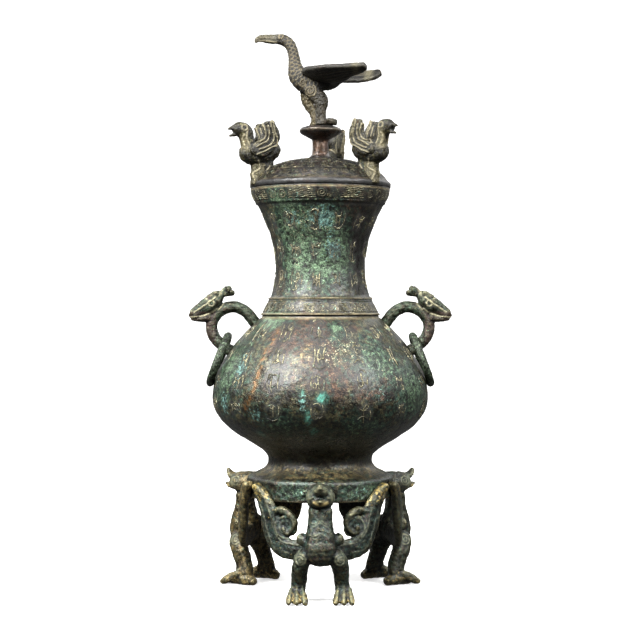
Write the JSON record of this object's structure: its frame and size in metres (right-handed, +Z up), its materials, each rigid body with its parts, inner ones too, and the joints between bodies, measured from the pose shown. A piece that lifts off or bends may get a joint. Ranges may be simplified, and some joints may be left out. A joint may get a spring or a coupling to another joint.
{
  "type": "bronze vase",
  "caption": "Lidded bronze ritual vase with a round belly, dragon-headed ring handles, birds on the lid and bird-shaped feet under its ring foot.",
  "frame": {"origin": "on the vessel's axis at the level of the feet's soles", "axes": "+Z up along the vessel's axis, -Y towards the front bird, +X to the viewer's right"},
  "size_m": [0.2112, 0.1775, 0.4445],
  "materials": {
    "vase_bronze": "worn bronze with brown and green patina",
    "lid_bronze": "dark brown-green patina",
    "finial_bronze": "brown-gold patina with pale scales",
    "lid_bird_bronze": "worn yellow-green patina with dark grooves",
    "handle_bronze": "dark green patina with pale worn heads",
    "ring_bronze": "grey-green patina",
    "foot_bird_bronze": "dark teal and brown patina with worn gold edges"
  },
  "bodies": {
    "body": {"vase": "vase_bronze", "lid": "lid_bronze", "finial_bird": "finial_bronze", "lid_bird_left": "lid_bird_bronze", "lid_bird_right": "lid_bird_bronze", "lid_bird_back": "lid_bird_bronze", "handle_left": "handle_bronze", "handle_right": "handle_bronze", "foot_bird_front": "foot_bird_bronze", "foot_bird_left": "foot_bird_bronze", "foot_bird_right": "foot_bird_bronze"},
    "left_ring": {"ring_left": "ring_bronze"},
    "right_ring": {"ring_right": "ring_bronze"}
  },
  "joints": [
    {"name": "ring_left_swing", "type": "hinge", "parent": "body", "child": "left_ring", "pos_m": [-0.07383, 0, 0.20186], "axis": [0, 1, 0], "range_deg": [0, 85]},
    {"name": "ring_right_swing", "type": "hinge", "parent": "body", "child": "right_ring", "pos_m": [0.07383, 0, 0.20186], "axis": [0, -1, 0], "range_deg": [0, 85]}
  ]
}
